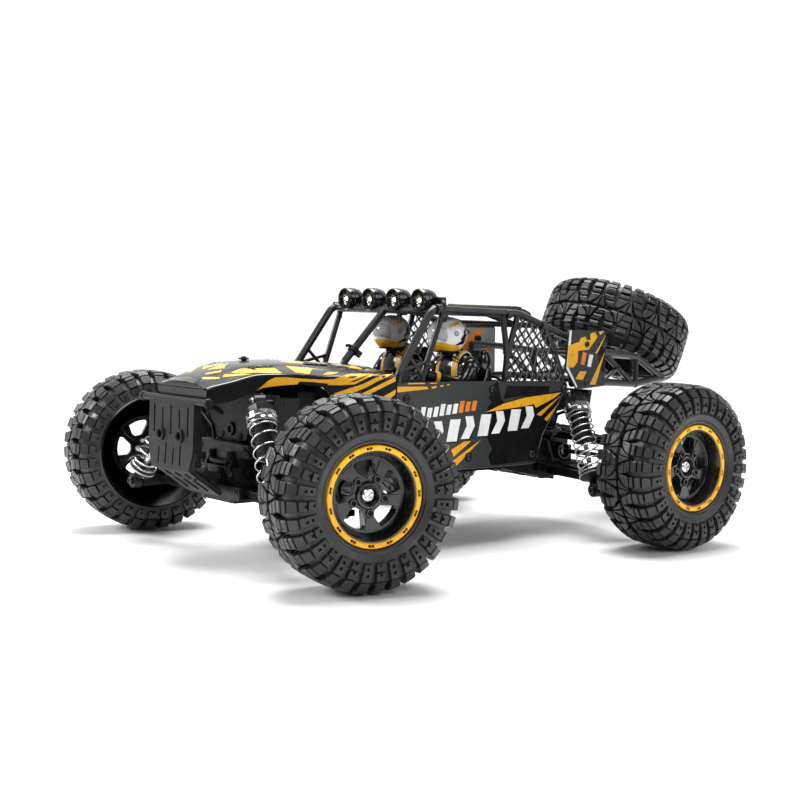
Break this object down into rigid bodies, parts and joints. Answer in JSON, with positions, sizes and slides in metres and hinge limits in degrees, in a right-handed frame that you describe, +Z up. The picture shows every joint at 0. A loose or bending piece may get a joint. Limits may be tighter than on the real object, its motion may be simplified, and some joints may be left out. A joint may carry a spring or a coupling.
{
  "type": "radio-controlled desert buggy",
  "caption": "Radio-controlled desert buggy with a tubular cage, sprung double wishbones, linked steering, treaded wheels and a spare wheel behind.",
  "frame": {"origin": "on the ground, under the middle of the bounding box", "axes": "+Z up, the nose points to -Y, the left side to +X"},
  "size_m": [0.2852, 0.3949, 0.1579],
  "materials": {
    "black_plastic": "satin moulded",
    "gloss_black": "glossy",
    "grey_panel": "semi-gloss",
    "tyre_rubber": "matte rubber",
    "rim_black": "satin",
    "chrome_wire": "polished",
    "steel": "polished shaft",
    "figure": "painted",
    "battery_wrap": "heat-shrink film",
    "motor_can": "plated"
  },
  "bodies": {
    "chassis": {"chassis_tub": "black_plastic", "front_bumper": "black_plastic", "front_bulkhead": "black_plastic", "rear_bulkhead": "black_plastic", "roll_cage": "black_plastic", "rear_cage": "black_plastic", "hood_shell": "gloss_black", "side_panel_left": "grey_panel", "side_panel_right": "grey_panel", "roof_panel": "grey_panel", "cockpit_tray": "black_plastic", "driver_figure": "figure", "passenger_figure": "figure", "light_bar": "black_plastic", "number_plate_left": "grey_panel", "number_plate_right": "grey_panel", "battery_pack": "battery_wrap", "motor": "motor_can", "electronics_box": "black_plastic", "spare_wheel": "rim_black", "spare_tyre": "tyre_rubber", "steering_servo": "black_plastic"},
    "servo_horn": {"servo_horn": "black_plastic"},
    "steering_link": {"steering_link": "black_plastic"},
    "tie_rod_left": {"tie_rod_left": "black_plastic"},
    "tie_rod_right": {"tie_rod_right": "black_plastic"},
    "lower_arm_front_left": {"front_lower_arm_left": "black_plastic"},
    "upper_arm_front_left": {"front_upper_arm_left": "black_plastic"},
    "hub_carrier_front_left": {"front_hub_carrier_left": "black_plastic"},
    "steering_knuckle_front_left": {"front_steering_knuckle_left": "black_plastic"},
    "wheel_front_left": {"front_wheel_left": "rim_black", "front_tyre_left": "tyre_rubber"},
    "shock_body_front_left": {"front_shock_body_left": "black_plastic", "front_spring_left": "chrome_wire"},
    "shock_shaft_front_left": {"front_shock_shaft_left": "steel"},
    "lower_arm_front_right": {"front_lower_arm_right": "black_plastic"},
    "upper_arm_front_right": {"front_upper_arm_right": "black_plastic"},
    "hub_carrier_front_right": {"front_hub_carrier_right": "black_plastic"},
    "steering_knuckle_front_right": {"front_steering_knuckle_right": "black_plastic"},
    "wheel_front_right": {"front_wheel_right": "rim_black", "front_tyre_right": "tyre_rubber"},
    "shock_body_front_right": {"front_shock_body_right": "black_plastic", "front_spring_right": "chrome_wire"},
    "shock_shaft_front_right": {"front_shock_shaft_right": "steel"},
    "lower_arm_rear_left": {"rear_lower_arm_left": "black_plastic"},
    "upper_arm_rear_left": {"rear_upper_arm_left": "black_plastic"},
    "upright_rear_left": {"rear_upright_left": "black_plastic"},
    "wheel_rear_left": {"rear_wheel_left": "rim_black", "rear_tyre_left": "tyre_rubber"},
    "shock_body_rear_left": {"rear_shock_body_left": "black_plastic", "rear_spring_left": "chrome_wire"},
    "shock_shaft_rear_left": {"rear_shock_shaft_left": "steel"},
    "lower_arm_rear_right": {"rear_lower_arm_right": "black_plastic"},
    "upper_arm_rear_right": {"rear_upper_arm_right": "black_plastic"},
    "upright_rear_right": {"rear_upright_right": "black_plastic"},
    "wheel_rear_right": {"rear_wheel_right": "rim_black", "rear_tyre_right": "tyre_rubber"},
    "shock_body_rear_right": {"rear_shock_body_right": "black_plastic", "rear_spring_right": "chrome_wire"},
    "shock_shaft_rear_right": {"rear_shock_shaft_right": "steel"}
  },
  "joints": [
    {"name": "steering_slide", "type": "slide", "parent": "chassis", "child": "steering_link", "axis": [1, 0, 0], "range_m": [-0.0095, 0.003]},
    {"name": "servo_horn_turn", "type": "hinge", "parent": "chassis", "child": "servo_horn", "pos_m": [0, -0.1038, 0.058], "axis": [0, 0, 1], "range_deg": [-36.4, 11.6]},
    {"name": "suspension_front_left", "type": "hinge", "parent": "chassis", "child": "lower_arm_front_left", "pos_m": [0.022, -0.1428, 0.037], "axis": [0, -1, 0], "range_deg": [0, 14], "stiffness_Nm_per_rad": 1.2, "springref_deg": -22.92},
    {"name": "upper_arm_swing_front_left", "type": "hinge", "parent": "chassis", "child": "upper_arm_front_left", "pos_m": [0.022, -0.1428, 0.059], "axis": [0, -1, 0], "range_deg": [-0.1, 14.1]},
    {"name": "hub_swing_front_left", "type": "hinge", "parent": "lower_arm_front_left", "child": "hub_carrier_front_left", "pos_m": [0.084, -0.1428, 0.033], "axis": [0, -1, 0], "range_deg": [-14.1, 0.1]},
    {"name": "steering_left", "type": "hinge", "parent": "hub_carrier_front_left", "child": "steering_knuckle_front_left", "pos_m": [0.0925, -0.1428, 0.0475], "axis": [0, 0, 1], "range_deg": [-11.6, 36.4]},
    {"name": "wheel_spin_front_left", "type": "hinge", "parent": "steering_knuckle_front_left", "child": "wheel_front_left", "pos_m": [0.11251, -0.14724, 0.0475], "axis": [0.9763, -0.2164, 0], "continuous": true},
    {"name": "tie_rod_swing_left", "type": "hinge", "parent": "steering_link", "child": "tie_rod_left", "pos_m": [0.03375, -0.12816, 0.054], "axis": [0, -1, 0], "range_deg": [-0.1, 14.1]},
    {"name": "shock_swing_front_left", "type": "hinge", "parent": "chassis", "child": "shock_body_front_left", "pos_m": [0.037, -0.1558, 0.086], "axis": [-0.3591, -0.9329, -0.0267], "range_deg": [-0.1, 7.01]},
    {"name": "shock_stroke_front_left", "type": "slide", "parent": "shock_body_front_left", "child": "shock_shaft_front_left", "axis": [-0.5526, 0.1895, 0.8116], "range_m": [-0.0001, 0.01009], "deforming": ["front_spring_left"]},
    {"name": "suspension_front_right", "type": "hinge", "parent": "chassis", "child": "lower_arm_front_right", "pos_m": [-0.022, -0.1428, 0.037], "axis": [0, 1, 0], "range_deg": [0, 14], "stiffness_Nm_per_rad": 1.2, "springref_deg": -22.92},
    {"name": "upper_arm_swing_front_right", "type": "hinge", "parent": "chassis", "child": "upper_arm_front_right", "pos_m": [-0.022, -0.1428, 0.059], "axis": [0, 1, 0], "range_deg": [-0.1, 14.1]},
    {"name": "hub_swing_front_right", "type": "hinge", "parent": "lower_arm_front_right", "child": "hub_carrier_front_right", "pos_m": [-0.084, -0.1428, 0.033], "axis": [0, 1, 0], "range_deg": [-14.1, 0.1]},
    {"name": "steering_right", "type": "hinge", "parent": "hub_carrier_front_right", "child": "steering_knuckle_front_right", "pos_m": [-0.0925, -0.1428, 0.0475], "axis": [0, 0, 1], "range_deg": [-11.6, 36.4]},
    {"name": "wheel_spin_front_right", "type": "hinge", "parent": "steering_knuckle_front_right", "child": "wheel_front_right", "pos_m": [-0.11251, -0.13836, 0.0475], "axis": [0.9763, -0.2164, 0], "continuous": true},
    {"name": "tie_rod_swing_right", "type": "hinge", "parent": "steering_link", "child": "tie_rod_right", "pos_m": [-0.02725, -0.12816, 0.054], "axis": [0, 1, 0], "range_deg": [-0.1, 14.1]},
    {"name": "shock_swing_front_right", "type": "hinge", "parent": "chassis", "child": "shock_body_front_right", "pos_m": [-0.037, -0.1558, 0.086], "axis": [-0.3591, 0.9329, 0.0267], "range_deg": [-0.1, 7.01]},
    {"name": "shock_stroke_front_right", "type": "slide", "parent": "shock_body_front_right", "child": "shock_shaft_front_right", "axis": [0.5526, 0.1895, 0.8116], "range_m": [-0.0001, 0.01009], "deforming": ["front_spring_right"]},
    {"name": "suspension_rear_left", "type": "hinge", "parent": "chassis", "child": "lower_arm_rear_left", "pos_m": [0.022, 0.0782, 0.037], "axis": [0, -1, 0], "range_deg": [0, 14], "stiffness_Nm_per_rad": 1.2, "springref_deg": -22.92},
    {"name": "upper_arm_swing_rear_left", "type": "hinge", "parent": "chassis", "child": "upper_arm_rear_left", "pos_m": [0.022, 0.0782, 0.059], "axis": [0, -1, 0], "range_deg": [-0.1, 14.1]},
    {"name": "hub_swing_rear_left", "type": "hinge", "parent": "lower_arm_rear_left", "child": "upright_rear_left", "pos_m": [0.084, 0.0782, 0.033], "axis": [0, -1, 0], "range_deg": [-14.1, 0.1]},
    {"name": "wheel_spin_rear_left", "type": "hinge", "parent": "upright_rear_left", "child": "wheel_rear_left", "pos_m": [0.1135, 0.0782, 0.0475], "axis": [1, 0, 0], "continuous": true},
    {"name": "shock_swing_rear_left", "type": "hinge", "parent": "chassis", "child": "shock_body_rear_left", "pos_m": [0.044, 0.0672, 0.084], "axis": [-0.3777, -0.9259, -0.0009], "range_deg": [-0.1, 7.87]},
    {"name": "shock_stroke_rear_left", "type": "slide", "parent": "shock_body_rear_left", "child": "shock_shaft_rear_left", "axis": [-0.5025, 0.2041, 0.8401], "range_m": [-0.0001, 0.01077], "deforming": ["rear_spring_left"]},
    {"name": "suspension_rear_right", "type": "hinge", "parent": "chassis", "child": "lower_arm_rear_right", "pos_m": [-0.022, 0.0782, 0.037], "axis": [0, 1, 0], "range_deg": [0, 14], "stiffness_Nm_per_rad": 1.2, "springref_deg": -22.92},
    {"name": "upper_arm_swing_rear_right", "type": "hinge", "parent": "chassis", "child": "upper_arm_rear_right", "pos_m": [-0.022, 0.0782, 0.059], "axis": [0, 1, 0], "range_deg": [-0.1, 14.1]},
    {"name": "hub_swing_rear_right", "type": "hinge", "parent": "lower_arm_rear_right", "child": "upright_rear_right", "pos_m": [-0.084, 0.0782, 0.033], "axis": [0, 1, 0], "range_deg": [-14.1, 0.1]},
    {"name": "wheel_spin_rear_right", "type": "hinge", "parent": "upright_rear_right", "child": "wheel_rear_right", "pos_m": [-0.1135, 0.0782, 0.0475], "axis": [1, 0, 0], "continuous": true},
    {"name": "shock_swing_rear_right", "type": "hinge", "parent": "chassis", "child": "shock_body_rear_right", "pos_m": [-0.044, 0.0672, 0.084], "axis": [-0.3777, 0.9259, 0.0009], "range_deg": [-0.1, 7.87]},
    {"name": "shock_stroke_rear_right", "type": "slide", "parent": "shock_body_rear_right", "child": "shock_shaft_rear_right", "axis": [0.5025, 0.2041, 0.8401], "range_m": [-0.0001, 0.01077], "deforming": ["rear_spring_right"]}
  ],
  "couplings": [
    {"joint": "servo_horn_turn", "follows": "steering_slide", "rad_per_m": 66.667},
    {"joint": "upper_arm_swing_front_left", "follows": "suspension_front_left", "ratio": 1},
    {"joint": "hub_swing_front_left", "follows": "suspension_front_left", "ratio": -1},
    {"joint": "steering_left", "follows": "steering_slide", "rad_per_m": -66.667},
    {"joint": "tie_rod_swing_left", "follows": "suspension_front_left", "ratio": 1},
    {"joint": "shock_swing_front_left", "follows": "suspension_front_left", "ratio": 0.49378},
    {"joint": "shock_stroke_front_left", "follows": "suspension_front_left", "m_per_rad": 0.040873},
    {"joint": "upper_arm_swing_front_right", "follows": "suspension_front_right", "ratio": 1},
    {"joint": "hub_swing_front_right", "follows": "suspension_front_right", "ratio": -1},
    {"joint": "steering_right", "follows": "steering_slide", "rad_per_m": -66.667},
    {"joint": "tie_rod_swing_right", "follows": "suspension_front_right", "ratio": 1},
    {"joint": "shock_swing_front_right", "follows": "suspension_front_right", "ratio": 0.49378},
    {"joint": "shock_stroke_front_right", "follows": "suspension_front_right", "m_per_rad": 0.040873},
    {"joint": "upper_arm_swing_rear_left", "follows": "suspension_rear_left", "ratio": 1},
    {"joint": "hub_swing_rear_left", "follows": "suspension_rear_left", "ratio": -1},
    {"joint": "shock_swing_rear_left", "follows": "suspension_rear_left", "ratio": 0.55488},
    {"joint": "shock_stroke_rear_left", "follows": "suspension_rear_left", "m_per_rad": 0.043654},
    {"joint": "upper_arm_swing_rear_right", "follows": "suspension_rear_right", "ratio": 1},
    {"joint": "hub_swing_rear_right", "follows": "suspension_rear_right", "ratio": -1},
    {"joint": "shock_swing_rear_right", "follows": "suspension_rear_right", "ratio": 0.55488},
    {"joint": "shock_stroke_rear_right", "follows": "suspension_rear_right", "m_per_rad": 0.043654}
  ]
}
